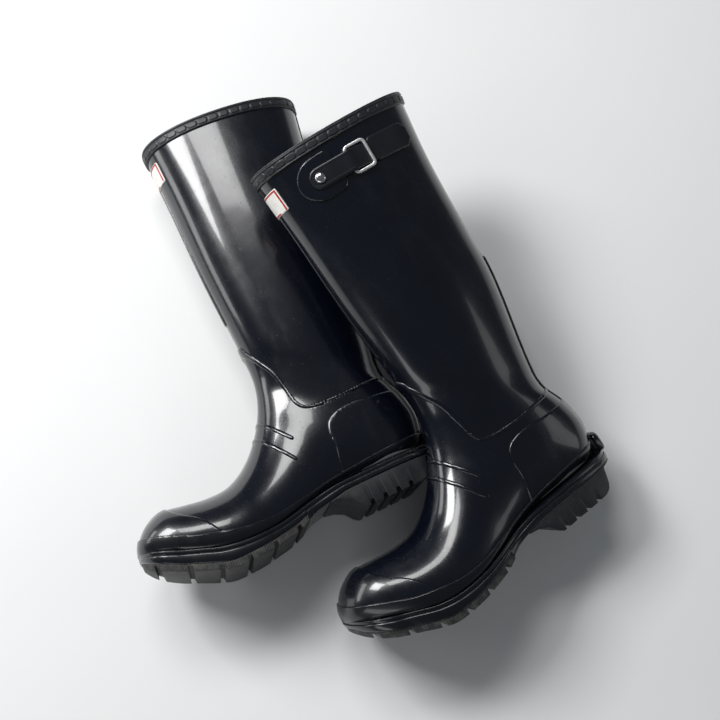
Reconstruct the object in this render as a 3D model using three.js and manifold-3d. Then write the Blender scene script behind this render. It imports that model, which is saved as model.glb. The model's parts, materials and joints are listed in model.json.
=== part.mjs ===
// A pair of tall rubber boots lying on their sides, the left one propped on the right one's leg.
// Millimetres, +Z up. The origin is on the floor, under the middle of the pair.
//
// Each boot is drawn standing, in a frame of its own: X runs from the heel to the toe, Z up the
// leg, and Y to the left boot's outer side. The right boot is the left one mirrored in Y.

import * as THREE from 'three';
import { mergeVertices } from 'three/addons/utils/BufferGeometryUtils.js';
import Module from 'manifold-3d';

const wasm = await Module();
wasm.setup();

// ---------------------------------------------------------------- driving dimensions

const FOOT_LENGTH = 279;        // upper, from the back of the heel to the toe
const FOOT_WIDTH = 99;          // upper, across the ball
const LEG_HEIGHT = 408;         // ground to the leg's cut edge, at the front
const LEG_DEPTH = 159;          // leg, front to back at the top
const LEG_WIDTH = 87;           // leg, side to side at the top

const RUBBER = 2.2;             // wall of the leg and of the foot
const LINING = 1.6;             // knitted lining
const CAP = 1.5;                // toe cap
const COUNTER = 1.5;            // heel counter
const BAND = 2.9;               // foxing band, over the cap and the counter
const STRIP = 1.2;              // strips, ridges and label
const LOWER_STRIP = 2.9;        // lower back strip, over the counter
const FRONT_STRIP_WIDTH = 6.4;
const BACK_STRIP_WIDTH = 10;
const LOWER_STRIP_WIDTH = 16;
const STRIP_JOIN = 238;         // ground to where the two back strips meet
const FRONT_STRIP_LOW = 216;    // ground to the front strip's lower end
const RIDGE_WIDTH = 4.4;
const LABEL_WIDTH = 38;
const LABEL_LOW = 369;          // ground to the label's lower edge
const LABEL_HEIGHT = 22;
const BINDING = 1.4;            // tape over the top edge
const BINDING_HEIGHT = 10;      // outer flange of that tape
const BINDING_INSIDE = 7;       // inner flange of that tape
const INSOLE = 4.5;             // loose footbed
const FILLER = 1.8;             // midsole filler, in its pocket in the outsole
const SHANK = 1.2;              // steel strip in the filler
const SHANK_WIDTH = 16;
const SOLE_RIM = 9;             // outsole between its edge and the filler's pocket
const SPUR_WIDTH = 26;          // rib at the back of the heel
const SOLE_EDGE = 3.6;          // how far the outsole stands out past the upper
const HEEL_SEAT = 5.4;          // outsole over the heel block
const TREAD_DEPTH = 4.6;        // grooves of the forepart and of the heel
const GROOVE = 4.2;             // width of a groove
const LUG_PITCH = 25;           // from one groove of the forepart to the next
const HEEL_LUG_PITCH = 13;      // and of the heel

const STRAP_HEIGHT = 374;       // ground to the strap's middle, at the stud
const STRAP = 1.9;              // thickness
const STRAP_NARROW = 19.5;      // width, from the stud to the buckle
const STRAP_WIDE = 23.2;        // width of the free end
const STRAP_LENGTH = 93;        // from the stud to the tip
const PATCH = 1.7;              // rounded patch under the strap
const PATCH_RADIUS = 19.5;
const STRAP_AHEAD = 9;          // strap in front of the stud
const WIRE = 1.4;               // radius of the buckle frame's wire
const FRAME_LENGTH = 19;        // buckle frame, between the middles of its two bars
const FRAME_WIDTH = 24.6;       // between the middles of its two sides
const FRAME_AT = 30;            // from the stud to the frame's front bar
const STUD_HEAD = 4.6;          // radius
const STUD_SHANK = 1.7;         // radius

const GAP = 0.3;                // between pieces that touch

// Each boot's place: where its heel stands, which way its toe points, and how it leans.
const LYING = {
  right: { x: 0, y: 0, z: 35.36, heading: 180, tilt: -1.78, roll: 6.54 },
  left: { x: 142, y: -75.4, z: 34.16, heading: 190, tilt: -15.7, roll: 5.8 },
};

// ---------------------------------------------------------------- the boot's outer surface

// The outlines below are drawn for this size, and graded from it to the one above.
const PATTERN = { footLength: 279, footWidth: 99, legHeight: 408, legDepth: 159, legWidth: 87 };
const HEEL_BACK = -26;
const ANKLE_HEIGHT = 125;
const LEG_CENTRE = 30;

// Sections from the toe to the top of the leg. Each lies across the boot, between a point on its
// front or upper outline and a point on its back or lower one, and is an oval of two halves.
//   front x, z | back x, z | half width | widest at (-1 back, 1 front) | squareness front, back | side shift
const SECTIONS = [
  [253, 49, 252, 46, 5, 0, 2, 2, -6],
  [250.5, 56, 248, 42.6, 19, -0.2, 2.1, 2.4, -6],
  [245, 64, 241, 39.8, 29, -0.3, 2.1, 2.8, -5.5],
  [236, 71.5, 230, 35.4, 37, -0.4, 2.1, 3.2, -4.5],
  [222, 77, 214, 29, 43.5, -0.5, 2.1, 3.6, -3],
  [203, 74.5, 196, 21.7, 47.5, -0.5, 2.1, 3.8, -1],
  [183, 71.6, 178, 16.8, 49.5, -0.5, 2.1, 3.8, 0],
  [163, 72.4, 158, 15.1, 49, -0.5, 2.1, 3.8, 1],
  [147, 79, 136, 16.2, 46, -0.5, 2.1, 3.8, 2],
  [132.5, 89.6, 112, 20.8, 42.5, -0.45, 2.1, 3.6, 2],
  [119, 104, 85, 26, 38.5, -0.35, 2.1, 3.3, 1],
  [108, 120, 52, 27.8, 35.5, -0.2, 2.1, 3, 0],
  [100.5, 136, 18, 27.8, 34, -0.15, 2.1, 2.9, 0],
  [96.5, 150, -13, 33, 33.6, -0.1, 2.1, 2.7, 0],
  [95, 163, -25.5, 56, 34, 0, 2.1, 2.4, 0],
  [95, 176, -23.5, 84, 35, 0, 2.1, 2.2, 0],
  [95.3, 190, -15, 110, 36, 0, 2.1, 2.2, 0],
  [95.8, 207, -18.5, 140, 37.2, 0, 2.1, 2.2, 0],
  [97, 258, -36.5, 215, 39.8, 0, 2.15, 2.2, 0],
  [97, 292, -42, 262, 41, 0, 2.2, 2.2, 0],
  [96.2, 352, -50, 338, 42.6, 0, 2.2, 2.2, 0],
  [97, 410, -62, 403, 43.5, 0, 2.2, 2.2, 0],
];
const TOP = SECTIONS.length - 1;
const ROUND = 16;               // facets round a section
const MOUTH = 30;               // how far the volumes run on past the top, before they are trimmed
const FAR_SIDE = 90;            // clear of the boot on either side
const FAR_BELOW = -40;          // clear of the boot under it
const FAR_ABOVE = 460;          // clear of the boot over it

const clamp = THREE.MathUtils.clamp;
const lerp = THREE.MathUtils.lerp;
const degrees = THREE.MathUtils.degToRad;

// 0 in the foot, 1 at the top of the leg.
function legShare(z) {
  return clamp((z - ANKLE_HEIGHT) / (PATTERN.legHeight - ANKLE_HEIGHT), 0, 1);
}

// A point of the pattern's side view, at the boot's real size.
function graded([x, z]) {
  const footX = HEEL_BACK + (x - HEEL_BACK) * FOOT_LENGTH / PATTERN.footLength;
  const legX = LEG_CENTRE + (x - LEG_CENTRE) * LEG_DEPTH / PATTERN.legDepth;
  const legScale = (LEG_HEIGHT - ANKLE_HEIGHT) / (PATTERN.legHeight - ANKLE_HEIGHT);
  return new THREE.Vector2(
    lerp(footX, legX, legShare(z)),
    z < ANKLE_HEIGHT ? z : ANKLE_HEIGHT + (z - ANKLE_HEIGHT) * legScale,
  );
}

const RINGS = SECTIONS.map(([frontX, frontZ, backX, backZ, half, widest, squareFront, squareBack, shift]) => {
  const footScale = FOOT_WIDTH / PATTERN.footWidth;
  const legScale = LEG_WIDTH / PATTERN.legWidth;
  const widthScale = lerp(footScale, legScale, legShare((frontZ + backZ) / 2));
  return {
    front: graded([frontX, frontZ]),
    back: graded([backX, backZ]),
    half: half * widthScale,
    shift: shift * widthScale,
    widest,
    squareFront,
    squareBack,
  };
});

// A value of the sections, smooth between them. The ends run on in a straight line.
function between(row, value) {
  const index = clamp(Math.floor(row), 0, TOP - 1);
  const at = (i) => value(RINGS[clamp(i, 0, TOP)]);
  const a = index > 0 ? at(index - 1) : 2 * at(0) - at(1);
  const d = index < TOP - 1 ? at(index + 2) : 2 * at(TOP) - at(TOP - 1);
  const b = at(index);
  const c = at(index + 1);
  const u = row - index;
  return b + 0.5 * u * (c - a + u * (2 * a - 5 * b + 4 * c - d + u * (3 * (b - c) + d - a)));
}

// A point of the outer surface. Row runs from 0 at the toe to TOP, and angle from 0 at the front,
// through the outer side, to half a turn at the back.
function surface(row, angle) {
  const front = new THREE.Vector2(between(row, (r) => r.front.x), between(row, (r) => r.front.y));
  const back = new THREE.Vector2(between(row, (r) => r.back.x), between(row, (r) => r.back.y));
  const widest = between(row, (r) => r.widest);
  const cos = Math.cos(angle);
  const sin = Math.sin(angle);
  const square = between(row, (r) => (cos > 0 ? r.squareFront : r.squareBack));
  const along = widest + Math.sign(cos) * Math.abs(cos) ** (2 / square) * (cos > 0 ? 1 - widest : 1 + widest);
  const across = Math.sign(sin) * Math.abs(sin) ** (2 / square);
  const side = back.lerp(front, (1 + along) / 2);
  return new THREE.Vector3(
    side.x,
    between(row, (r) => r.shift) + between(row, (r) => r.half) * across,
    side.y,
  );
}

function outward(row, angle) {
  const step = 0.06;
  const upLeg = surface(row + step, angle).sub(surface(row - step, angle));
  const round = surface(row, angle + step).sub(surface(row, angle - step));
  return round.cross(upLeg).normalize();
}

function offset(row, angle, distance) {
  return surface(row, angle).addScaledVector(outward(row, angle), distance);
}

// ---------------------------------------------------------------- solids

function solid(geometry) {
  const bare = geometry.clone();
  bare.deleteAttribute('normal');
  bare.deleteAttribute('uv');
  const merged = mergeVertices(bare, 1e-4);
  return new wasm.Manifold(new wasm.Mesh({
    numProp: 3,
    vertProperties: merged.attributes.position.array,
    triVerts: Uint32Array.from(merged.index.array),
  }));
}

function geometryOf(manifold) {
  const mesh = manifold.getMesh();
  const geometry = new THREE.BufferGeometry();
  geometry.setAttribute('position', new THREE.BufferAttribute(mesh.vertProperties, 3));
  geometry.setIndex(new THREE.BufferAttribute(mesh.triVerts, 1));
  return geometry;
}

// A closed skin over rings of points, all with the same number of points, capped at both ends.
function loft(rings) {
  const size = rings[0].length;
  const index = [];
  for (let i = 0; i < rings.length - 1; i += 1) {
    for (let j = 0; j < size; j += 1) {
      const here = i * size + j;
      const next = i * size + (j + 1) % size;
      index.push(here, next, next + size);
      index.push(here, next + size, here + size);
    }
  }
  const last = (rings.length - 1) * size;
  for (let j = 1; j < size - 1; j += 1) {
    index.push(0, j + 1, j);
    index.push(last, last + j, last + j + 1);
  }
  const geometry = new THREE.BufferGeometry().setFromPoints(rings.flat());
  geometry.setIndex(index);
  return solid(geometry);
}

// The boot's whole volume, with its surface moved out by a distance. An inner volume starts
// further back in the toe, where the foot is still wider than the walls round it.
function volume(distance) {
  const first = distance < 0 ? 1 : 0;
  const rings = [];
  for (let row = first; row <= TOP; row += 1) {
    const ring = [];
    for (let j = 0; j < ROUND; j += 1) {
      ring.push(offset(row, j * 2 * Math.PI / ROUND, distance));
    }
    rings.push(ring);
  }
  const upLeg = surface(TOP, 0).sub(surface(TOP - 1, 0)).normalize().multiplyScalar(MOUTH);
  rings.push(rings.at(-1).map((point) => point.clone().add(upLeg)));
  return loft(rings);
}

// What lies between two such surfaces.
function skin(inner, outer) {
  return volume(outer).subtract(volume(inner));
}

// A smooth line of the side view through points of the pattern.
function line(points) {
  return new THREE.SplineCurve(points.map(graded)).getPoints(points.length - 1);
}

function raised(points, height) {
  return points.map((point) => new THREE.Vector2(point.x, point.y + height));
}

// A side view outline, run through the boot from one side to the other.
function sideCut(outline, from = -FAR_SIDE, to = FAR_SIDE) {
  const depth = to - from;
  const geometry = new THREE.ExtrudeGeometry(new THREE.Shape(outline), { depth, bevelEnabled: false });
  geometry.rotateX(Math.PI / 2);
  geometry.translate(0, to, 0);
  return solid(geometry);
}

// The space between a lower and an upper line of the side view.
function bandCut(lower, upper) {
  return sideCut([...lower, ...[...upper].reverse()]);
}

// A plan view outline, run up through the boot.
function planCut(outline) {
  const depth = ANKLE_HEIGHT - FAR_BELOW;
  const geometry = new THREE.ExtrudeGeometry(new THREE.Shape(outline), { depth, bevelEnabled: false });
  geometry.translate(0, 0, FAR_BELOW);
  return solid(geometry);
}

// ---------------------------------------------------------------- lines of the side view

const WELT = line([
  [-45, 27.3], [55, 27.3], [80, 26.2], [103, 22.3], [120, 18.5], [136, 15.7],
  [158, 14.6], [175, 15.8], [190, 18.9], [204, 24.2], [222, 31.3], [247, 41.9], [270, 51],
]);
const BAND_TOP = line([
  [-45, 45.5], [22, 43], [70, 39], [95, 35], [114, 31.5], [134, 28.2],
  [159, 28.6], [184, 34.2], [202, 39.5], [217, 46.5], [236, 55], [270, 69],
]);
const TREAD = line([
  [108, 11], [121, 6], [134, 3.6], [150, 1], [165, 0], [183, 0], [197, 4.2],
  [213, 10.9], [228, 17.5], [247, 28.4], [259, 40], [270, 49],
]);
const SEAM = line([
  [-60, 104.5], [-14, 104.5], [33, 102.5], [62, 104.5], [72.5, 112], [76, 130],
  [80, 150], [86.5, 165], [93, 179], [100, 193], [130, 215], [300, 215],
]);
const RIM = [[-90, 401.8], [300, 419]].map(graded);
const CAP_EDGE = line([
  [219, 84], [216, 72], [208.5, 63.5], [198, 55.3], [191, 48], [184, 37], [178, 26], [172, 8],
]);
const COUNTER_EDGE = line([
  [-50, 88], [6, 90.5], [26, 93], [44, 92], [54.5, 86.5], [59.3, 75.5], [60, 60], [64.5, 40], [66, 20],
]);
function below(points, drop = 0) {
  const edge = raised(points, -drop);
  return sideCut([
    new THREE.Vector2(edge[0].x, FAR_BELOW),
    new THREE.Vector2(edge.at(-1).x, FAR_BELOW),
    ...[...edge].reverse(),
  ]);
}

function above(points, rise = 0) {
  const edge = raised(points, rise);
  return sideCut([
    ...edge,
    new THREE.Vector2(edge.at(-1).x, FAR_ABOVE),
    new THREE.Vector2(edge[0].x, FAR_ABOVE),
  ]);
}

// ---------------------------------------------------------------- upper, lining and trims

const INNER = -(RUBBER + GAP);
const LINED = INNER - LINING;
const BARE = LINED - GAP;
const SEAM_GAP = 1;             // between trims that end at one another
const RIDGE_REACH = 26;         // how far a ridge's outline runs on in front of the instep

function footShell() {
  return skin(-RUBBER, 0).intersect(below(SEAM, GAP / 2));
}

function legShell() {
  return skin(-RUBBER, 0).intersect(above(SEAM, GAP / 2)).intersect(below(RIM));
}

function liningSock() {
  return skin(LINED, INNER).intersect(below(RIM));
}

function capZone(grow) {
  const edge = CAP_EDGE.map((point) => new THREE.Vector2(point.x - grow, point.y));
  return sideCut([...edge, graded([280, -30]), graded([280, 84])]);
}

function counterZone(grow) {
  const edge = COUNTER_EDGE.map((point) => new THREE.Vector2(point.x + grow, point.y + grow));
  return sideCut([new THREE.Vector2(edge[0].x, edge.at(-1).y), edge.at(-1), ...[...edge].reverse().slice(1)]);
}

function toeCap() {
  return skin(GAP, GAP + CAP).intersect(capZone(0)).intersect(above(WELT, GAP + CAP));
}

function heelCounter() {
  return skin(GAP, GAP + COUNTER).intersect(counterZone(0)).intersect(above(WELT, GAP + COUNTER));
}

// What the cap and the counter fill, with the gap that the pieces over them keep.
function capAndCounter() {
  const cap = volume(GAP + CAP + GAP).intersect(capZone(GAP));
  return cap.add(volume(GAP + COUNTER + GAP).intersect(counterZone(GAP)));
}

function foxingBand() {
  return skin(GAP, GAP + BAND).intersect(bandCut(WELT, BAND_TOP)).subtract(capAndCounter());
}

// A piece of skin over the boot, of a given width, within an outline of its side view.
function trim(thickness, width, outline) {
  return skin(GAP, GAP + thickness).intersect(sideCut(outline, -width / 2, width / 2));
}

// Such a piece up the front or the back of the leg, between two heights.
function legTrim(thickness, width, side, low, high) {
  const far = LEG_CENTRE + side * LEG_DEPTH;
  const outline = [[LEG_CENTRE, low], [far, low], [far, high], [LEG_CENTRE, high]];
  return trim(thickness, width, outline.map(([x, z]) => new THREE.Vector2(x, z)));
}

function frontStrip() {
  return legTrim(STRIP, FRONT_STRIP_WIDTH, 1, FRONT_STRIP_LOW, LABEL_LOW - SEAM_GAP);
}

function blankLabel() {
  return legTrim(STRIP, LABEL_WIDTH, 1, LABEL_LOW, LABEL_LOW + LABEL_HEIGHT);
}

function backStripUpper() {
  const underBinding = RIM[0].y - BINDING_HEIGHT - SEAM_GAP;
  return legTrim(STRIP, BACK_STRIP_WIDTH, -1, STRIP_JOIN + SEAM_GAP, underBinding);
}

function backStripLower() {
  const overBand = BAND_TOP[0].y + GAP;
  return legTrim(LOWER_STRIP, LOWER_STRIP_WIDTH, -1, overBand, STRIP_JOIN).subtract(capAndCounter());
}

// A raised ridge over the instep, along a line that runs back and down on both sides.
function instepRidge(top, bottom) {
  const start = graded(top);
  const end = graded(bottom);
  const along = start.clone().sub(end).normalize();
  const across = new THREE.Vector2(-along.y, along.x).multiplyScalar(RIDGE_WIDTH / 2);
  start.addScaledVector(along, RIDGE_REACH);
  return trim(STRIP, 2 * FAR_SIDE, [
    start.clone().add(across),
    end.clone().add(across),
    end.clone().sub(across),
    start.clone().sub(across),
  ]);
}

function topBinding() {
  const outer = skin(BARE - BINDING, GAP + BINDING);
  const wall = skin(BARE, GAP);
  const low = raised(RIM, -BINDING_HEIGHT);
  const inside = volume(INNER).intersect(below(RIM, BINDING_INSIDE));
  return outer
    .intersect(bandCut(low, raised(RIM, GAP + BINDING)))
    .subtract(wall.intersect(below(RIM, -GAP)))
    .subtract(inside);
}

// ---------------------------------------------------------------- sole

// The outsole's plan outline, from the sections in the foot and a round heel behind them.
function soleOutline(edge) {
  const outer = [];
  const inner = [];
  for (let row = 0; row <= 10; row += 1) {
    const ring = RINGS[row];
    const x = lerp(ring.back.x, ring.front.x, (1 + ring.widest) / 2);
    const half = ring.half + edge;
    const ahead = row === 0 ? edge * 0.9 : 0;
    outer.push(new THREE.Vector2(x + ahead, ring.shift + half));
    inner.push(new THREE.Vector2(x + ahead, ring.shift - half));
  }
  const heelCentre = graded([34, 0]).x;
  const heelBack = graded([HEEL_BACK, 0]).x - edge;
  const heelHalf = RINGS[11].half + edge;
  const heel = [];
  for (let step = 0; step <= 12; step += 1) {
    const angle = Math.PI * step / 12;
    const square = 2 / 2.3;
    heel.push(new THREE.Vector2(
      heelCentre - (heelCentre - heelBack) * Math.sin(angle) ** square,
      heelHalf * Math.sign(Math.cos(angle)) * Math.abs(Math.cos(angle)) ** square,
    ));
  }
  return [...outer, ...heel, ...inner.reverse()];
}

const HEEL_SEAT_LINE = line([[-45, 27.3], [60, 27.3], [84, 25.9]]);

// Straight grooves across a tread, measured up from its lowest line.
function grooves(tread, first, last, pitch) {
  const cuts = [];
  const from = graded([first, 0]).x;
  const to = graded([last, 0]).x;
  const count = Math.round((to - from) / pitch);
  for (let i = 0; i <= count; i += 1) {
    const x = lerp(from, to, i / count);
    const level = heightOn(tread, x) + TREAD_DEPTH;
    cuts.push(sideCut([
      new THREE.Vector2(x - GROOVE / 2, FAR_BELOW),
      new THREE.Vector2(x + GROOVE / 2, FAR_BELOW),
      new THREE.Vector2(x + GROOVE / 2, level),
      new THREE.Vector2(x - GROOVE / 2, level),
    ]));
  }
  return cuts.reduce((all, cut) => all.add(cut));
}

function heightOn(points, x) {
  const next = clamp(points.findIndex((point) => point.x > x), 1, points.length - 1);
  const a = points[next - 1];
  const b = points[next];
  return lerp(a.y, b.y, (x - a.x) / (b.x - a.x));
}

const POCKET = FILLER + GAP;
const OVER_WELT = 9;            // clear of the pocket's open side

function outsole() {
  const waist = [[84, 18.6], [100, 15.5], [107.5, 13.5]].map(graded);
  const bottom = [...raised(HEEL_SEAT_LINE, -HEEL_SEAT).slice(0, 2), ...waist, ...TREAD];
  const body = planCut(soleOutline(SOLE_EDGE)).intersect(bandCut(bottom, raised(WELT, -GAP)));
  const pocketSide = bandCut(raised(WELT, -GAP - POCKET), raised(WELT, OVER_WELT));
  const pocket = planCut(soleOutline(-SOLE_RIM)).intersect(pocketSide);
  return body.subtract(pocket).subtract(grooves(TREAD, 121, 244, LUG_PITCH));
}

function fillerSpace() {
  return bandCut(raised(WELT, -GAP - FILLER), raised(WELT, -GAP));
}

function shankPlan(grow) {
  const from = graded([14, 0]).x - grow;
  const to = graded([118, 0]).x + grow;
  const half = SHANK_WIDTH / 2 + grow;
  const corners = [[from, -half], [to, -half], [to, half], [from, half]];
  return planCut(corners.map(([x, y]) => new THREE.Vector2(x, y)));
}

function midsoleFiller() {
  return planCut(soleOutline(-SOLE_RIM - GAP)).intersect(fillerSpace()).subtract(shankPlan(GAP));
}

function shank() {
  return shankPlan(0).intersect(bandCut(raised(WELT, -GAP - FILLER), raised(WELT, -GAP - FILLER + SHANK)));
}

function heelBlock() {
  const top = raised(HEEL_SEAT_LINE, -HEEL_SEAT - GAP);
  const profile = [
    ...[[-12, 21], [-6, 6], [0, 1], [4, 0], [57, 0], [61, 3], [67, 11], [76, 15.6], [86, 17.6]].map(graded),
    new THREE.Vector2(top[1].x, top[1].y),
    new THREE.Vector2(top[0].x, top[0].y),
    new THREE.Vector2(top[0].x, top[0].y - 1),
  ];
  const body = planCut(soleOutline(SOLE_EDGE - 0.8)).intersect(sideCut(profile));
  const ground = [[-20, 0], [90, 0]].map(graded);
  return body.subtract(grooves(ground, 13, 52, HEEL_LUG_PITCH));
}

function heelSpur() {
  const outline = [[-20, 28.5], [-30, 28.5], [-33.5, 31], [-34, 36], [-31, 44], [-20, 48]].map(graded);
  const body = sideCut(outline, -SPUR_WIDTH / 2, SPUR_WIDTH / 2);
  return body.subtract(volume(GAP + BAND + GAP)).subtract(below(WELT, -GAP));
}

// The footbed lies loose on the lining, a little smaller than it all round.
function insole() {
  const play = 0.4;
  const bed = raised(WELT, GAP + RUBBER + GAP + LINING + GAP);
  return volume(BARE - play).intersect(below(bed, -INSOLE));
}

// ---------------------------------------------------------------- strap and buckle

const STUD_ANGLE = degrees(63);

// The row of the leg whose surface is at a height, at the stud.
function rowAt(height) {
  let low = 0;
  let high = TOP;
  while (high - low > 1e-6) {
    const row = (low + high) / 2;
    if (surface(row, STUD_ANGLE).z < height) {
      low = row;
    } else {
      high = row;
    }
  }
  return low;
}

const STRAP_ROW = rowAt(STRAP_HEIGHT);

// The strap's line round the leg, as points with their distance along it, every half degree.
const LINE_STEP = degrees(0.5);
const STEPS_AHEAD = 60;
const STEPS_BEHIND = 240;
const STRAP_LINE = [];
for (let step = -STEPS_AHEAD; step <= STEPS_BEHIND; step += 1) {
  const angle = STUD_ANGLE + step * LINE_STEP;
  const point = surface(STRAP_ROW, angle);
  const last = STRAP_LINE.at(-1);
  STRAP_LINE.push({ angle, point, length: last ? last.length + point.distanceTo(last.point) : 0 });
}
const STUD_LENGTH = STRAP_LINE[STEPS_AHEAD].length;

// The frame of the leg's surface at a distance behind the stud: out of it, back along the strap
// and across the strap, towards the top of the leg.
function onStrap(distance) {
  const wanted = STUD_LENGTH + distance;
  const next = clamp(STRAP_LINE.findIndex((sample) => sample.length > wanted), 1, STRAP_LINE.length - 1);
  const a = STRAP_LINE[next - 1];
  const b = STRAP_LINE[next];
  const angle = lerp(a.angle, b.angle, (wanted - a.length) / (b.length - a.length));
  const out = outward(STRAP_ROW, angle);
  const back = b.point.clone().sub(a.point);
  const across = out.clone().cross(back).normalize();
  return { point: surface(STRAP_ROW, angle), out, back: across.clone().cross(out), across };
}

const ON_PATCH = GAP + PATCH + GAP;
const OVER_BAR = GAP + 2 * WIRE + GAP;
const ON_LEG = GAP + 0.2;
const TIP_LIFT = 2.4;
const TIP_CHAMFER = 5;

// Height of the strap's underside over the leg: on its patch, over the front bar, then down under
// the rear bar, and slightly free of the leg at the tip.
const STRAP_RISE = [
  [-STRAP_AHEAD, ON_PATCH], [PATCH_RADIUS - 0.5, ON_PATCH], [FRAME_AT - 6, OVER_BAR - 0.7],
  [FRAME_AT - 2, OVER_BAR + 0.1], [FRAME_AT + 2, OVER_BAR + 0.1], [FRAME_AT + 8, ON_LEG + 1],
  [FRAME_AT + 12, ON_LEG], [FRAME_AT + FRAME_LENGTH + 15, ON_LEG], [STRAP_LENGTH - 8, TIP_LIFT - 0.8],
  [STRAP_LENGTH, TIP_LIFT],
].map(([distance, height]) => new THREE.Vector2(distance, height));

function strapHalfWidth(distance) {
  const shoulder = 3;
  const widening = clamp((distance - FRAME_AT - FRAME_LENGTH - shoulder) / shoulder, 0, 1);
  const narrowing = clamp((distance - STRAP_LENGTH + TIP_CHAMFER) / TIP_CHAMFER, 0, 1);
  const rounding = Math.sqrt(clamp((distance + STRAP_AHEAD) / TIP_CHAMFER, 0, 1));
  const half = lerp(STRAP_NARROW, STRAP_WIDE, widening) / 2;
  return half * lerp(0.6, 1, rounding) - TIP_CHAMFER * narrowing;
}

function strap() {
  const rings = [];
  const count = 26;
  for (let step = 0; step <= count; step += 1) {
    const distance = lerp(-STRAP_AHEAD, STRAP_LENGTH, step / count);
    const { point, out, across } = onStrap(distance);
    const low = heightOn(STRAP_RISE, distance);
    const half = strapHalfWidth(distance);
    const section = [[low, -half], [low, half], [low + STRAP, half], [low + STRAP, -half]];
    rings.push(section.map(([height, side]) => (
      point.clone().addScaledVector(out, height).addScaledVector(across, side)
    )));
  }
  return loft(rings).subtract(studHole());
}

function strapPatch() {
  const { point } = onStrap(0);
  const outline = new THREE.Shape();
  const back = point.x - PATCH_RADIUS;
  outline.absarc(point.x, point.z, PATCH_RADIUS, -Math.PI / 2, Math.PI / 2, false);
  outline.lineTo(back + 3, point.z + PATCH_RADIUS - 1.5);
  outline.lineTo(back, point.z + PATCH_RADIUS - 5);
  outline.lineTo(back, point.z - PATCH_RADIUS + 3.5);
  outline.lineTo(back + 3, point.z - PATCH_RADIUS);
  return skin(GAP, GAP + PATCH).intersect(sideCut(outline.getPoints(7), 0, 90)).subtract(studHole());
}

// A shape of revolution about the stud's axis, from its profile of radius and height.
function onStud(profile, sides) {
  const points = profile.map(([radius, height]) => new THREE.Vector2(radius, height));
  const geometry = new THREE.LatheGeometry(points, sides);
  const { point, out, across, back } = onStrap(0);
  const place = new THREE.Matrix4().makeBasis(back, out, across.negate());
  geometry.applyMatrix4(place.setPosition(point));
  return solid(geometry);
}

function studHole() {
  const radius = STUD_SHANK + GAP;
  return onStud([[0, -1], [radius, -1], [radius, 12], [0, 12]], 12);
}

function strapStud() {
  const foot = GAP * 2;
  const head = ON_PATCH + STRAP + GAP;
  return onStud([
    [0, foot], [STUD_SHANK, foot], [STUD_SHANK, head], [STUD_HEAD, head], [STUD_HEAD, head + 0.5],
    [STUD_HEAD * 0.86, head + 1.3], [STUD_HEAD * 0.5, head + 1.9], [0, head + 2.1],
  ], 14);
}

const WIRE_SIDES = 8;

// The buckle frame is bent from wire, about the middle of its front bar: X back to the rear bar,
// Y along the bars, Z out from the leg.
function buckleFrame() {
  const bend = 3;
  const half = FRAME_WIDTH / 2;
  const corners = [[0, -half], [FRAME_LENGTH, -half], [FRAME_LENGTH, half], [0, half]]
    .map(([x, y]) => new THREE.Vector3(x, y, 0));
  const towards = (from, to) => to.clone().sub(from).normalize().multiplyScalar(bend).add(from);
  const outline = new THREE.CurvePath();
  for (const [index, corner] of corners.entries()) {
    const next = corners[(index + 1) % corners.length];
    const after = towards(corner, next);
    outline.add(new THREE.QuadraticBezierCurve3(towards(corner, corners.at(index - 1)), corner, after));
    outline.add(new THREE.LineCurve3(after, towards(next, corner)));
  }
  const rings = [];
  for (const [index, curve] of outline.curves.entries()) {
    const steps = index % 2 === 0 ? 3 : 1;
    for (let step = 0; step < steps; step += 1) {
      const centre = curve.getPoint(step / steps);
      const along = curve.getTangent(step / steps);
      const side = new THREE.Vector3(along.y, -along.x, 0);
      const ring = [];
      for (let j = 0; j < WIRE_SIDES; j += 1) {
        const angle = 2 * Math.PI * j / WIRE_SIDES;
        const point = centre.clone().addScaledVector(side, WIRE * Math.cos(angle));
        ring.push(point.setZ(-WIRE * Math.sin(angle)));
      }
      rings.push(ring);
    }
  }
  return closedLoop(rings);
}

// A skin over rings that come round to the first one again.
function closedLoop(rings) {
  const size = rings[0].length;
  const count = rings.length;
  const index = [];
  for (let i = 0; i < count; i += 1) {
    for (let j = 0; j < size; j += 1) {
      const here = i * size + j;
      const next = i * size + (j + 1) % size;
      const ahead = ((i + 1) % count) * size + j;
      const aheadNext = ((i + 1) % count) * size + (j + 1) % size;
      index.push(here, next, aheadNext);
      index.push(here, aheadNext, ahead);
    }
  }
  const geometry = new THREE.BufferGeometry().setFromPoints(rings.flat());
  geometry.setIndex(index);
  return geometry;
}

// Turns and moves the frame so that its front bar lies on the leg and its rear bar on the strap.
function placeBuckle(mesh) {
  const front = onStrap(FRAME_AT);
  const rear = onStrap(FRAME_AT + FRAME_LENGTH);
  const pivot = front.point.clone().addScaledVector(front.out, GAP + WIRE);
  const rearBar = rear.point.clone().addScaledVector(rear.out, ON_LEG + STRAP + GAP + WIRE);
  const along = rearBar.sub(pivot).normalize();
  const across = front.across.clone().addScaledVector(along, -front.across.dot(along)).normalize();
  const out = along.clone().cross(across);
  mesh.quaternion.setFromRotationMatrix(new THREE.Matrix4().makeBasis(along, across, out));
  mesh.position.copy(pivot);
}

// ---------------------------------------------------------------- materials

function finish(color, roughness, metalness = 0) {
  return new THREE.MeshStandardMaterial({ color, roughness, metalness });
}

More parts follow.
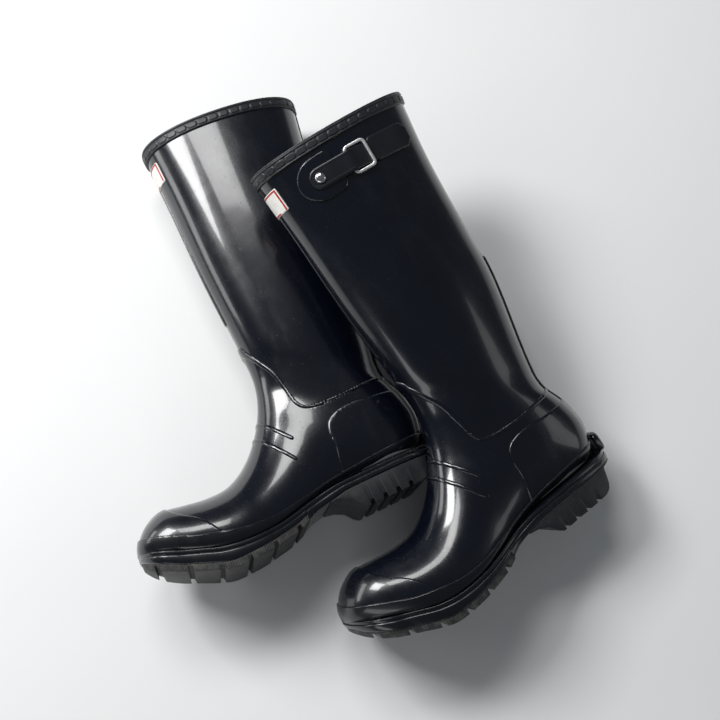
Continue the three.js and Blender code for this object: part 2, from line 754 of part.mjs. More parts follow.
const GLOSS_RUBBER = finish(0x0d1220, 0.18);
const TRIM_RUBBER = finish(0x0b0f19, 0.3);
const SOLE_RUBBER = finish(0x17181b, 0.7);
const BINDING_RUBBER = finish(0x101216, 0.55);
const KNIT = finish(0x23262e, 0.95);
const LABEL_PLASTIC = finish(0xe6e3da, 0.4);
const NICKEL = finish(0xcfd2d4, 0.2, 1);
const STEEL = finish(0x8c9094, 0.4, 1);
const FOAM = finish(0x2b2c30, 0.9);
const FIBRE = finish(0x6b5a45, 0.9);

// ---------------------------------------------------------------- the pair

const PIECES = [
  ['leg_shell', geometryOf(legShell()), GLOSS_RUBBER],
  ['foot_shell', geometryOf(footShell()), GLOSS_RUBBER],
  ['lining', geometryOf(liningSock()), KNIT],
  ['toe_cap', geometryOf(toeCap()), GLOSS_RUBBER],
  ['heel_counter', geometryOf(heelCounter()), GLOSS_RUBBER],
  ['foxing_band', geometryOf(foxingBand()), TRIM_RUBBER],
  ['front_strip', geometryOf(frontStrip()), GLOSS_RUBBER],
  ['back_strip_upper', geometryOf(backStripUpper()), GLOSS_RUBBER],
  ['back_strip_lower', geometryOf(backStripLower()), GLOSS_RUBBER],
  ['instep_ridge_upper', geometryOf(instepRidge([105, 105], [91.5, 85])), GLOSS_RUBBER],
  ['instep_ridge_lower', geometryOf(instepRidge([113.5, 92], [97, 66])), GLOSS_RUBBER],
  ['top_binding', geometryOf(topBinding()), BINDING_RUBBER],
  ['front_label', geometryOf(blankLabel()), LABEL_PLASTIC],
  ['outsole', geometryOf(outsole()), SOLE_RUBBER],
  ['heel_block', geometryOf(heelBlock()), SOLE_RUBBER],
  ['heel_spur', geometryOf(heelSpur()), SOLE_RUBBER],
  ['insole', geometryOf(insole()), FOAM],
  ['midsole_filler', geometryOf(midsoleFiller()), FIBRE],
  ['shank', geometryOf(shank()), STEEL],
  ['strap_patch', geometryOf(strapPatch()), GLOSS_RUBBER],
  ['strap', geometryOf(strap()), GLOSS_RUBBER],
  ['strap_stud', geometryOf(strapStud()), NICKEL],
  ['buckle_frame', buckleFrame(), NICKEL, placeBuckle],
];

function boot(side) {
  const group = new THREE.Group();
  for (const [name, geometry, material, place] of PIECES) {
    const mesh = new THREE.Mesh(geometry, material);
    mesh.name = `${side}_${name}`;
    if (place) {
      place(mesh);
    }
    group.add(mesh);
  }
  group.scale.y = side === 'right' ? -1 : 1;
  return group;
}

// Lays a boot on its side: rolled about its leg, then turned down with its Y side up.
function lying(side) {
  const { x, y, z, heading, tilt, roll } = LYING[side];
  const rolled = new THREE.Group();
  rolled.rotation.z = degrees(roll);
  rolled.add(boot(side));
  const laid = new THREE.Group();
  laid.rotation.x = degrees(90 + tilt);
  laid.add(rolled);
  const placed = new THREE.Group();
  placed.rotation.z = degrees(heading);
  placed.position.set(x, y, z);
  placed.add(laid);
  return placed;
}

const pair = new THREE.Group();
pair.add(lying('right'), lying('left'));

// The middle of the pair's box goes over the origin, with its lowest point on the floor.
const box = new THREE.Box3().setFromObject(pair, true);
const middle = box.getCenter(new THREE.Vector3());
pair.position.set(-middle.x, -middle.y, -box.min.z);

const boots = new THREE.Group();
boots.add(pair);

export default boots;
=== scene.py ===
"""A pair of tall rubber boots lying on a pale floor, the left one propped on the right one's heel.

Each boot is drawn standing, in millimetres, in a frame of its own: X runs from the heel to the
toe, Z up the leg, and Y to the left boot's outer side. The right boot is the left one mirrored.
Every piece is a sheet, a loft or a sweep over the boot's outer surface, laid where the frame's
heel mounts say that the boot lies.
"""

import json
import math

import bpy
import numpy as np
from mathutils import Matrix, Vector


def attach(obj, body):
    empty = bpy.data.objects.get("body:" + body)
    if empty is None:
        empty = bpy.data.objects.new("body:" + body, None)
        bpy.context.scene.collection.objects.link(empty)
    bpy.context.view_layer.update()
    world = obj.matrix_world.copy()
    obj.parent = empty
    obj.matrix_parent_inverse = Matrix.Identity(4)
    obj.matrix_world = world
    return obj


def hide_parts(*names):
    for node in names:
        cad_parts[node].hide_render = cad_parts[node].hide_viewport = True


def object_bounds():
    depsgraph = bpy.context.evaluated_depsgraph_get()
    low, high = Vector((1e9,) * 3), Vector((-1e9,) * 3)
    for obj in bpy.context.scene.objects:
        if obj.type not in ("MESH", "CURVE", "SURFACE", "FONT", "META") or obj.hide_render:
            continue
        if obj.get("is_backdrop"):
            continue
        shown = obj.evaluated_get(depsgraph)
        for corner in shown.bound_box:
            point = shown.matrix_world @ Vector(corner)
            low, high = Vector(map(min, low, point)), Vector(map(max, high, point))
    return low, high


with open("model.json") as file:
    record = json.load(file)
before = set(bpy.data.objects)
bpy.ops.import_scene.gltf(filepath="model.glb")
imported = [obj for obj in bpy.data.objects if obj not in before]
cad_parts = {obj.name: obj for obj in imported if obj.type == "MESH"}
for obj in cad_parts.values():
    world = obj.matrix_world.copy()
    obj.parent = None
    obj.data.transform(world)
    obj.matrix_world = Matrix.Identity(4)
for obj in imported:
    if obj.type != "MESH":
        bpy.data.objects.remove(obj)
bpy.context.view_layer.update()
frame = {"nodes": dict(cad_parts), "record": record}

MM = 0.001
SHARP = math.radians(70)        # edges turning more than this stay sharp

# ---------------------------------------------------------------- sizes, in millimetres

RUBBER = 2.2
CAP = 1.5
BAND = 2.9
WELT_HEIGHT = 3.2               # of the upright edge between the band and the sole
STRIP = 1.2
LINING_OUT = -2.5
LINING_IN = -4.1
BINDING_HEIGHT = 10.5
BINDING_INSIDE = 7
CELL = 10.8                     # length of one cell of the binding's pattern
CELL_HALF = 2.7                 # half its height
CELL_MIDDLE = 5.2               # its middle, below the rim
CELL_RISE = 0.8
LINE_AT = 4.2                   # the raised lines, above and below the cells' middle
LINE_RISE = 0.75
SOLE_EDGE = 3.6
HEEL_EDGE = 2.8
HEEL_SEAT = 5.4
TREAD_DEPTH = 4.6
GROOVE = 4.2
LUG_PITCH = 25
HEEL_LUG_PITCH = 13
RIB_PITCH = 2.1                 # of the fine ribs on the sides of the lugs
GAP = 0.3
STRAP_HEIGHT = 374
STRAP = 1.9
STRAP_NARROW = 19.5
STRAP_WIDE = 23.2
STRAP_LENGTH = 93
STRAP_AHEAD = 9
PATCH = 1.7
PATCH_RADIUS = 19.5
WIRE = 1.4
FRAME_LENGTH = 19
FRAME_WIDTH = 24.6
FRAME_AT = 30
STUD_HEAD = 4.6
STUD_ANGLE = math.radians(63)
HEEL_MOUNT = np.array([32.5, 0, 0])
GRID = 3.0                      # spacing of the surface's fine grid

UNDER = 0.4                     # how far a trim reaches under the surface
MIDDLE_X = 30                   # between the front and the back of the leg
FRONT_STRIP_WIDTH = 6.4
FRONT_STRIP_LOW = 216
BACK_STRIP_WIDTH = 10
LOWER_STRIP_WIDTH = 16
LOWER_STRIP_LOW = 46
LOWER_STRIP = 2.9               # thickness of the wide strip
STRIP_JOIN = 238                # where the two strips up the back meet
STRIP_RISE = STRIP + 0.2
RIDGE_WIDTH = 4.4
LABEL_WIDTH = 38
LABEL_LOW = 369
LABEL_HIGH = 391
LABEL_BORDER = (0.7, 2.4)       # from the label's edge to the two sides of its border

HEEL_CENTRE = 34                # the heel's outline is round behind this
HEEL_BACK = -26
TOE_FROM = 222                  # and the toe's ahead of this
TOE = 253
HEEL_ROW = 11                   # the section over the middle of the heel
TREAD_START = 110               # the waist is behind this
GROOVES = (121, 244)            # the first and the last groove of the forepart
HEEL_GROOVES = (13, 52)
LUG_SHOULDER = 1.6              # from the grooves' bottom up to the smooth side wall
LEAST_WALL = 3.2                # height of that wall

# How each boot lies: which way its toe points, and how it leans.
LYING = {
    "right": {"heading": 180, "tilt": -1.78, "roll": 6.54},
    "left": {"heading": 190, "tilt": -15.7, "roll": 5.8},
}

# Sections from the toe to the top of the leg:
# front x, z | back x, z | half width | widest at (-1 back, 1 front) | squareness front, back | shift
SECTIONS = np.array([
    [253, 49, 252, 46, 5, 0, 2, 2, -6],
    [250.5, 56, 248, 42.6, 19, -0.2, 2.1, 2.4, -6],
    [245, 64, 241, 39.8, 29, -0.3, 2.1, 2.8, -5.5],
    [236, 71.5, 230, 35.4, 37, -0.4, 2.1, 3.2, -4.5],
    [222, 77, 214, 29, 43.5, -0.5, 2.1, 3.6, -3],
    [203, 74.5, 196, 21.7, 47.5, -0.5, 2.1, 3.8, -1],
    [183, 71.6, 178, 16.8, 49.5, -0.5, 2.1, 3.8, 0],
    [163, 72.4, 158, 15.1, 49, -0.5, 2.1, 3.8, 1],
    [147, 79, 136, 16.2, 46, -0.5, 2.1, 3.8, 2],
    [132.5, 89.6, 112, 20.8, 42.5, -0.45, 2.1, 3.6, 2],
    [119, 104, 85, 26, 38.5, -0.35, 2.1, 3.3, 1],
    [108, 120, 52, 27.8, 35.5, -0.2, 2.1, 3, 0],
    [100.5, 136, 18, 27.8, 34, -0.15, 2.1, 2.9, 0],
    [96.5, 150, -13, 33, 33.6, -0.1, 2.1, 2.7, 0],
    [95, 163, -25.5, 56, 34, 0, 2.1, 2.4, 0],
    [95, 176, -23.5, 84, 35, 0, 2.1, 2.2, 0],
    [95.3, 190, -15, 110, 36, 0, 2.1, 2.2, 0],
    [95.8, 207, -18.5, 140, 37.2, 0, 2.1, 2.2, 0],
    [97, 258, -36.5, 215, 39.8, 0, 2.15, 2.2, 0],
    [97, 292, -42, 262, 41, 0, 2.2, 2.2, 0],
    [96.2, 352, -50, 338, 42.6, 0, 2.2, 2.2, 0],
    [97, 410, -62, 403, 43.5, 0, 2.2, 2.2, 0],
], float)
FRONT_X, FRONT_Z, BACK_X, BACK_Z, HALF, WIDEST, SQUARE_FRONT, SQUARE_BACK, SHIFT = SECTIONS.T
TOP = len(SECTIONS) - 1
ROW_OVER = 0.35                 # rows that the surface runs on past the top


# ---------------------------------------------------------------- the outer surface

def spline(values, row):
    """A value of the sections at a row, smooth between them and straight past the ends."""
    ends = np.concatenate([[2 * values[0] - values[1]], values, [2 * values[-1] - values[-2]]])
    index = np.clip(np.floor(row), 0, TOP - 1).astype(int)
    u = row - index
    a, b, c, d = (ends[index + k] for k in range(4))
    return b + 0.5 * u * (c - a + u * (2 * a - 5 * b + 4 * c - d + u * (3 * (b - c) + d - a)))


def power(value, exponent):
    return np.sign(value) * np.abs(value) ** exponent


def surface(row, angle):
    """Points of the outer surface. Angle 0 is the front, a quarter turn the outer side."""
    row, angle = np.broadcast_arrays(np.asarray(row, float), np.asarray(angle, float))
    cos, sin = np.cos(angle), np.sin(angle)
    widest = spline(WIDEST, row)
    square = np.where(cos > 0, spline(SQUARE_FRONT, row), spline(SQUARE_BACK, row))
    along = widest + power(cos, 2 / square) * np.where(cos > 0, 1 - widest, 1 + widest)
    across = power(sin, 2 / square)
    share = (1 + along) / 2
    x = spline(BACK_X, row) * (1 - share) + spline(FRONT_X, row) * share
    z = spline(BACK_Z, row) * (1 - share) + spline(FRONT_Z, row) * share
    y = spline(SHIFT, row) + spline(HALF, row) * across
    return np.stack([x, y, z], -1)


def outward(row, angle):
    step = 0.06
    up_leg = surface(np.add(row, step), angle) - surface(np.subtract(row, step), angle)
    around = surface(row, np.add(angle, step)) - surface(row, np.subtract(angle, step))
    normal = np.cross(around, up_leg)
    return normal / np.linalg.norm(normal, axis=-1, keepdims=True)


def offset(row, angle, distance):
    return surface(row, angle) + outward(row, angle) * np.asarray(distance)[..., None]


def smooth_line(points, steps=8):
    """A smooth side-view line through points."""
    p = np.array(points, float)
    p = np.vstack([2 * p[0] - p[1], p, 2 * p[-1] - p[-2]])
    made = []
    for i in range(1, len(p) - 2):
        for u in np.linspace(0, 1, steps, endpoint=False):
            a, b, c, d = p[i - 1:i + 3]
            made.append(b + 0.5 * u * (c - a + u * (2 * a - 5 * b + 4 * c - d + u * (3 * (b - c) + d - a))))
    made.append(p[-2])
    return np.array(made)


WELT = smooth_line([
    [-45, 27.3], [55, 27.3], [80, 26.2], [103, 22.3], [120, 18.5], [136, 15.7],
    [158, 14.6], [175, 15.8], [190, 18.9], [204, 24.2], [222, 31.3], [247, 41.9], [270, 51],
])
BAND_TOP = smooth_line([
    [-45, 45.5], [22, 43], [70, 39], [95, 35], [114, 31.5], [134, 28.2],
    [159, 28.6], [184, 34.2], [202, 39.5], [217, 46.5], [236, 55], [270, 69],
])
TREAD = smooth_line([
    [108, 11], [121, 6], [134, 3.6], [150, 1], [165, 0], [183, 0], [197, 4.2],
    [213, 10.9], [228, 17.5], [247, 28.4], [259, 40], [270, 49],
])
SEAM = smooth_line([
    [-60, 104.5], [-14, 104.5], [33, 102.5], [62, 104.5], [72.5, 112], [76, 130],
    [80, 150], [86.5, 165], [93, 179], [100, 193], [130, 215],
])
CAP_EDGE = smooth_line([
    [225, 100], [219, 84], [216, 72], [208.5, 63.5], [198, 55.3], [191, 48], [184, 37], [178, 26], [172, 8],
])
COUNTER_EDGE = smooth_line([
    [-50, 88], [6, 90.5], [26, 93], [44, 92], [54.5, 86.5], [59.3, 75.5], [60, 60], [64.5, 40], [66, 20],
])
RIM = np.array([[-90, 401.8], [300, 419]])


# ---------------------------------------------------------------- fields over the side view

def height_on(line, x):
    return np.interp(x, line[:, 0], line[:, 1])


def above(line):
    return lambda p: p[:, 2] - height_on(line, p[:, 0])


def below(line, drop=0.0):
    return lambda p: height_on(line, p[:, 0]) - drop - p[:, 2]


def distance_to(line, p):
    """Distance to a side-view line, positive on its left as it runs."""
    q = p[:, [0, 2]]
    best = np.full(len(q), 1e9)
    side = np.ones(len(q))
    for a, b in zip(line[:-1], line[1:]):
        ab = b - a
        t = np.clip(((q - a) @ ab) / (ab @ ab), 0, 1)
        d = np.linalg.norm(q - a - t[:, None] * ab, axis=1)
        cross = ab[0] * (q[:, 1] - a[1]) - ab[1] * (q[:, 0] - a[0])
        closer = d < best - 1e-9
        best = np.where(closer, d, best)
        side = np.where(closer, np.sign(cross), side)
    return best * np.where(side == 0, 1, side)


def left_of(line):
    return lambda p: distance_to(line, p)


def near(line, half):
    return lambda p: half - np.abs(distance_to(line, p))


def within(low, high, axis):
    return lambda p: np.minimum(p[:, axis] - low, high - p[:, axis])


def both(*fields):
    return lambda p: np.min([field(p) for field in fields], axis=0)


# ---------------------------------------------------------------- sheets over the surface

def fine_grid():
    """The whole surface as a fine grid: rows and angles of its points, and its triangles."""
    angles = np.linspace(0, 2 * math.pi, 145)
    rows = [0.0]
    for row in range(TOP):
        gap = np.linalg.norm(surface(row, angles) - surface(row + 1, angles), axis=1).max()
        count = max(2, int(math.ceil(gap / GRID)))
        rows += [row + (k + 1) / count for k in range(count)]
    rows += list(TOP + np.linspace(0, ROW_OVER, 8)[1:])
    row, angle = np.meshgrid(rows, angles, indexing="ij")
    params = np.stack([row.ravel(), angle.ravel()], -1)
    wide = len(angles)
    i, j = np.meshgrid(np.arange(len(rows) - 1), np.arange(wide - 1), indexing="ij")
    here = (i * wide + j).ravel()
    triangles = np.vstack([
        np.stack([here, here + 1, here + wide + 1], -1),
        np.stack([here, here + wide + 1, here + wide], -1),
    ])
    return params, triangles


BASE_PARAMS, BASE_TRIANGLES = fine_grid()
BASE_POINTS = surface(BASE_PARAMS[:, 0], BASE_PARAMS[:, 1])


def split(params, triangles, field, level):
    """Cuts the triangles along the line where the field has a value."""
    value = field(surface(params[:, 0], params[:, 1])) - level
    value = np.where(np.abs(value) < 1e-4, 1e-4, value)
    sign = value > 0
    crossed = sign[triangles].any(1) & ~sign[triangles].all(1)
    whole = triangles[~crossed]
    added, made, lookup = [], [], {}
    count = len(params)

    def middle(a, b):
        key = (min(a, b), max(a, b))
        if key not in lookup:
            u = value[a] / (value[a] - value[b])
            lookup[key] = count + len(added)
            added.append(params[a] * (1 - u) + params[b] * u)
        return lookup[key]

    for triangle in triangles[crossed]:
        alone = [k for k in range(3) if sign[triangle].sum() in (1, 2)
                 and sign[triangle[k]] == (sign[triangle].sum() == 1)][0]
        a, b, c = (triangle[(alone + k) % 3] for k in range(3))
        ab, ac = middle(a, b), middle(a, c)
        made += [[a, ab, ac], [ab, b, c], [ab, c, ac]]
    if not made:
        return params, triangles
    return np.vstack([params, added]), np.vstack([whole, made])


def sheet(field, base, thickness, edge, under=0.5, levels=(0.12, 0.4, 1.0)):
    """A closed sheet over the part of the surface where the field is positive. It stands on the
    surface at a distance, with a rounded edge, and reaches a little under that distance."""
    value = field(BASE_POINTS)
    used = BASE_TRIANGLES[(value[BASE_TRIANGLES] > -1e-3).any(1)]
    params, triangles = BASE_PARAMS, used
    for level in [0.0] + [edge * share for share in levels]:
        params, triangles = split(params, triangles, field, level)
    value = field(surface(params[:, 0], params[:, 1]))
    triangles = triangles[(value[triangles] > -2e-3).all(1)]
    kept, triangles = np.unique(triangles, return_inverse=True)
    triangles = triangles.reshape(-1, 3)
    params, value = params[kept], value[kept]
    share = np.clip(value / edge, 0, 1)
    height = base + thickness * np.sqrt(1 - (1 - share) ** 2)
    point = surface(params[:, 0], params[:, 1])
    normal = outward(params[:, 0], params[:, 1])
    top = point + normal * height[:, None]
    bottom = point + normal * (base - under)
    welded, back = np.unique(np.round(point, 3), axis=0, return_inverse=True)
    back = back.ravel()
    first = np.zeros(len(welded), int)
    first[back] = np.arange(len(back))
    triangles = back[triangles]
    alive = (triangles[:, 0] != triangles[:, 1]) & (triangles[:, 1] != triangles[:, 2])
    triangles = triangles[alive & (triangles[:, 0] != triangles[:, 2])]
    return closed(top[first], bottom[first], triangles)


def closed(top, bottom, triangles):
    """The points and faces of a solid between two copies of a triangle mesh."""
    count = len(top)
    edges = np.vstack([triangles[:, [0, 1]], triangles[:, [1, 2]], triangles[:, [2, 0]]])
    known = {(a, b) for a, b in edges.tolist()}
    faces = triangles.tolist() + (triangles[:, ::-1] + count).tolist()
    for a, b in edges.tolist():
        if (b, a) not in known:
            faces.append([b, a, a + count, b + count])
    return np.vstack([top, bottom]), faces


def loft(rings, round_again=False):
    """A skin over rings of points, all with the same number of points."""
    rings = np.array(rings)
    count, size = rings.shape[:2]
    faces = []
    for i in range(count if round_again else count - 1):
        for j in range(size):
            here, beside = i * size + j, i * size + (j + 1) % size
            ahead, ahead_beside = (here + size) % (count * size), (beside + size) % (count * size)
            faces.append([here, beside, ahead_beside, ahead])
    if not round_again:
        faces.append(list(range(size))[::-1])
        faces.append([(count - 1) * size + j for j in range(size)])
    return rings.reshape(-1, 3), faces


# ---------------------------------------------------------------- placing pieces

def placement(side):
    lying = LYING[side]
    turn = (
        Matrix.Rotation(math.radians(lying["heading"]), 3, "Z")
        @ Matrix.Rotation(math.radians(90 + lying["tilt"]), 3, "X")
        @ Matrix.Rotation(math.radians(lying["roll"]), 3, "Z")
    )
    mount = next(m for m in frame["record"]["mounts"] if m["name"] == side + "_heel_rest")
    matrix = turn.to_4x4()
    matrix.translation = Vector(mount["pos_m"]) - turn @ Vector(HEEL_MOUNT * MM)
    return matrix


PLACES = {side: placement(side) for side in LYING}
STANDING = "standing_place"     # each point's place on the standing boot, for the materials


def piece(side, name, shape, material, nodes=None, body=None):
    """One mesh in place on one boot, riding on its body and standing for its CAD nodes."""
    points, faces = shape
    points = np.array(points) * MM
    if side == "right":
        points = points * [1, -1, 1]
        faces = [list(face)[::-1] for face in faces]
    place = np.array(PLACES[side])
    laid = points @ place[:3, :3].T + place[:3, 3]
    mesh = bpy.data.meshes.new(f"{side}_{name}_fine")
    mesh.from_pydata(laid.tolist(), [], [list(map(int, face)) for face in faces])
    standing = mesh.attributes.new(STANDING, "FLOAT_VECTOR", "POINT")
    standing.data.foreach_set("vector", points.astype(np.float32).ravel())
    mesh.materials.append(material)
    mesh.shade_smooth()
    mesh.set_sharp_from_angle(angle=SHARP)
    obj = bpy.data.objects.new(f"{side}_{name}_fine", mesh)
    bpy.context.scene.collection.objects.link(obj)
    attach(obj, body or f"{side}_boot")
    nodes = [name] if nodes is None else nodes
    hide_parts(*[f"{side}_{node}" for node in nodes])
    return obj


# ---------------------------------------------------------------- upper, trims and label

def middle_line(half):
    """Distance inside a strip along the boot's middle."""
    return lambda p: half - np.abs(p[:, 1])


def in_front(p):
    return p[:, 0] - MIDDLE_X


def behind(p):
    return MIDDLE_X - p[:, 0]


def strip(width, side, low, high):
    """A strip up the boot's middle, in front or behind, between two heights."""
    return both(middle_line(width / 2), side, within(low, high, 2))


def label_area(inset):
    """The front label, less an edge of a width all round."""
    return strip(LABEL_WIDTH - 2 * inset, in_front, LABEL_LOW + inset, LABEL_HIGH - inset)


def ridge(start, end, reach=26):
    a, b = np.array(start, float), np.array(end, float)
    along = (a - b) / np.linalg.norm(a - b)
    return near(np.array([a + along * reach, b]), RIDGE_WIDTH / 2)


def patch_field(p):
    """A patch round the stud, with a round front and a straight, chamfered back."""
    stud = surface(STRAP_ROW, STUD_ANGLE)
    x, z = p[:, 0] - stud[0], p[:, 2] - stud[2]
    disc = PATCH_RADIUS - np.hypot(np.maximum(x, 0), z)
    back = x + PATCH_RADIUS
    chamfer = (PATCH_RADIUS * 2 - 5 - np.abs(z) + x) * 0.7
    return np.minimum(np.minimum(disc, np.minimum(back, chamfer)), p[:, 1])


FRONT_STRIP = strip(FRONT_STRIP_WIDTH, in_front, FRONT_STRIP_LOW, LABEL_LOW - 1)
BACK_STRIP_UPPER = strip(BACK_STRIP_WIDTH, behind, STRIP_JOIN + 1, LABEL_HIGH)
BACK_STRIP_LOWER = strip(LOWER_STRIP_WIDTH, behind, LOWER_STRIP_LOW, STRIP_JOIN)

# Each piece's field, its distance over the surface, its thickness, its rounded edge,
# and how far it reaches under that distance.
UPPER = {
    "leg_shell": (both(above(SEAM), below(RIM, 0.5)), -0.3, 0.3, 1.0, RUBBER - 0.3),
    "foot_shell": (below(SEAM), -0.05, 0.65, 1.6, RUBBER - 0.05),
    "toe_cap": (both(left_of(CAP_EDGE), above(WELT)), 0, GAP + CAP, 1.8, UNDER),
    "heel_counter": (both(left_of(COUNTER_EDGE[::-1]), above(WELT)), 0, GAP + CAP, 1.8, UNDER),
    "foxing_band": (both(above(WELT), below(BAND_TOP)), 0, GAP + BAND, 1.0, UNDER),
    "front_strip": (FRONT_STRIP, 0, STRIP_RISE, 1.6, UNDER),
    "back_strip_upper": (BACK_STRIP_UPPER, 0, STRIP_RISE, 1.3, UNDER),
    "back_strip_lower": (BACK_STRIP_LOWER, 0, LOWER_STRIP, 2.2, UNDER),
    "instep_ridge_upper": (ridge([105, 105], [91.5, 85]), 0, STRIP_RISE, 2.1, UNDER),
    "instep_ridge_lower": (ridge([113.5, 92], [97, 66]), 0, STRIP_RISE, 2.1, UNDER),
    "front_label": (label_area(0), 0.1, 0.9, 0.6, UNDER),
}


def lining():
    """The knitted sock's inner face, from the toe to just under the binding."""
    field = below(RIM, 1.2)
    inside = (BASE_PARAMS[:, 0] >= 1.2)
    value = np.where(inside, field(BASE_POINTS), -1)
    triangles = BASE_TRIANGLES[(value[BASE_TRIANGLES] > 0).all(1)]
    kept, triangles = np.unique(triangles, return_inverse=True)
    triangles = triangles.reshape(-1, 3)
    params = BASE_PARAMS[kept]
    point = surface(params[:, 0], params[:, 1])
    normal = outward(params[:, 0], params[:, 1])
    welded, back = np.unique(np.round(point, 3), axis=0, return_inverse=True)
    back = back.ravel()
    first = np.zeros(len(welded), int)
    first[back] = np.arange(len(back))
    triangles = back[triangles]
    return closed(
        (point + normal * LINING_OUT)[first], (point + normal * LINING_IN)[first], triangles,
    )


# ---------------------------------------------------------------- binding

def rows_at(drop, angle):
    """The rows of the surface that lie a height under the rim, at each angle."""
    low, high = np.full(len(angle), TOP - 2.0), np.full(len(angle), TOP + 1.5)
    for _ in range(40):
        row = (low + high) / 2
        p = surface(row, angle)
        under = height_on(RIM, p[:, 0]) - drop - p[:, 2] > 0
        low, high = np.where(under, row, low), np.where(under, high, row)
    return low


def binding():
    """Tape folded over the edge, with a row of long six-sided cells between two raised lines."""
    count = 720
    angle = np.linspace(0, 2 * math.pi, count, endpoint=False)
    rim = surface(rows_at(0, angle), angle)
    steps = np.linalg.norm(np.roll(rim, -1, 0) - rim, axis=1)
    run = np.concatenate([[0], np.cumsum(steps)[:-1]])
    total = steps.sum()
    cell = total / round(total / CELL)
    rings = []
    for drop in np.linspace(BINDING_HEIGHT, -0.2, 44):
        row = rows_at(drop, angle)
        rise = 1.15 * np.sqrt(np.clip((BINDING_HEIGHT - drop) / 0.8, 0, 1))
        v = drop - CELL_MIDDLE
        u = (run / cell) % 1 - 0.5
        slant = np.clip((0.5 - np.abs(u)) * CELL / 2.0, 0, 1)
        inside = np.minimum(CELL_HALF * slant - abs(v), (0.45 - np.abs(u)) * CELL)
        cells = CELL_RISE * np.clip(inside / 0.4, 0, 1)
        lines = LINE_RISE * math.exp(-((abs(v) - LINE_AT) / 0.45) ** 2)
        rings.append(offset(row, angle, GAP + rise + cells + lines - 0.2))
    outer, inner = GAP + 1.3, LINING_IN - 1.5
    for turn in np.linspace(0.1, 0.9, 9):
        row = rows_at(-0.2 - 1.5 * math.sin(math.pi * turn) ** 0.7, angle)
        share = (1 - math.cos(math.pi * turn)) / 2
        rings.append(offset(row, angle, np.full(count, outer + (inner - outer) * share)))
    for drop in np.linspace(-0.2, BINDING_INSIDE, 14):
        rings.append(offset(rows_at(drop, angle), angle, np.full(count, inner)))
    rings.append(offset(rows_at(BINDING_INSIDE + 0.3, angle), angle, np.full(count, LINING_IN + 0.2)))
    rings.append(offset(rows_at(1.0, angle), angle, np.full(count, LINING_IN + 0.6)))
    rings.append(offset(rows_at(1.0, angle), angle, np.full(count, -0.6)))
    rings.append(offset(rows_at(BINDING_HEIGHT - 0.3, angle), angle, np.full(count, -0.3)))
    points, faces = loft(rings, round_again=True)
    return points, [face[::-1] for face in faces]


# ---------------------------------------------------------------- sole

def sole_half(edge):
    """Half width and middle of the sole's plan outline, against X."""
    share = (1 + WIDEST[:HEEL_ROW]) / 2
    x = BACK_X[:HEEL_ROW] * (1 - share) + FRONT_X[:HEEL_ROW] * share
    x = np.concatenate([[x[0] + 0.9 * edge], x[1:]])[::-1]
    outer = (SHIFT[:HEEL_ROW] + HALF[:HEEL_ROW])[::-1]
    inner = (SHIFT[:HEEL_ROW] - HALF[:HEEL_ROW])[::-1]
    return x, outer, inner


def sole_width(x, edge):
    """The two sides of the sole at X: a round heel, a waist, and the sections' width ahead of it."""
    heel_half = HALF[HEEL_ROW] + edge
    if x <= HEEL_CENTRE:
        share = min(1, (HEEL_CENTRE - x) / (HEEL_CENTRE - HEEL_BACK + edge))
        half = heel_half * (1 - share ** 2.3) ** (1 / 2.3)
        return -half, half
    stations, outer, inner = sole_half(edge)
    stations = np.concatenate([[HEEL_CENTRE], stations])
    outer = np.concatenate([[HALF[HEEL_ROW]], outer])
    inner = np.concatenate([[-HALF[HEEL_ROW]], inner])
    smooth_x = min(x, stations[-1])
    reach = np.interp(smooth_x, stations, outer)
    back = np.interp(smooth_x, stations, inner)
    if x > TOE_FROM:
        # the toe, as half an oval from the last full section
        share = (x - TOE_FROM) / (TOE + edge - TOE_FROM)
        fall = (1 - min(1, share) ** 2.25) ** (1 / 2.0)
        centre = -3 - 3.5 * share
        half = (43.5 + edge) * fall
        return centre - half, centre + half
    return back - edge, reach + edge


def smoothed_width(edge):
    """The sole's outline at close stations, with the corners of the sections smoothed out."""
    x = np.arange(HEEL_BACK - edge + 0.02, TOE + edge - 0.02, 0.4)
    sides = np.array([sole_width(value, edge) for value in x])
    kernel = np.hanning(61)
    kernel /= kernel.sum()
    smooth = sides.copy()
    for k in range(2):
        padded = np.pad(sides[:, k], 30, mode="edge")
        smooth[:, k] = np.convolve(padded, kernel, mode="valid")
    blend = np.clip((x - 45) / 15, 0, 1) * np.clip((242 - x) / 12, 0, 1)
    return x, sides * (1 - blend[:, None]) + smooth * blend[:, None]


def in_groove(x, first, last, pitch):
    """1 in a groove across the tread, 0 on a lug, with steep walls between them."""
    count = round((last - first) / pitch)
    centres = np.linspace(first, last, count + 1)
    away = np.abs(x[:, None] - centres).min(1)
    return np.clip((GROOVE / 2 + 0.25 - away) / 0.5, 0, 1)


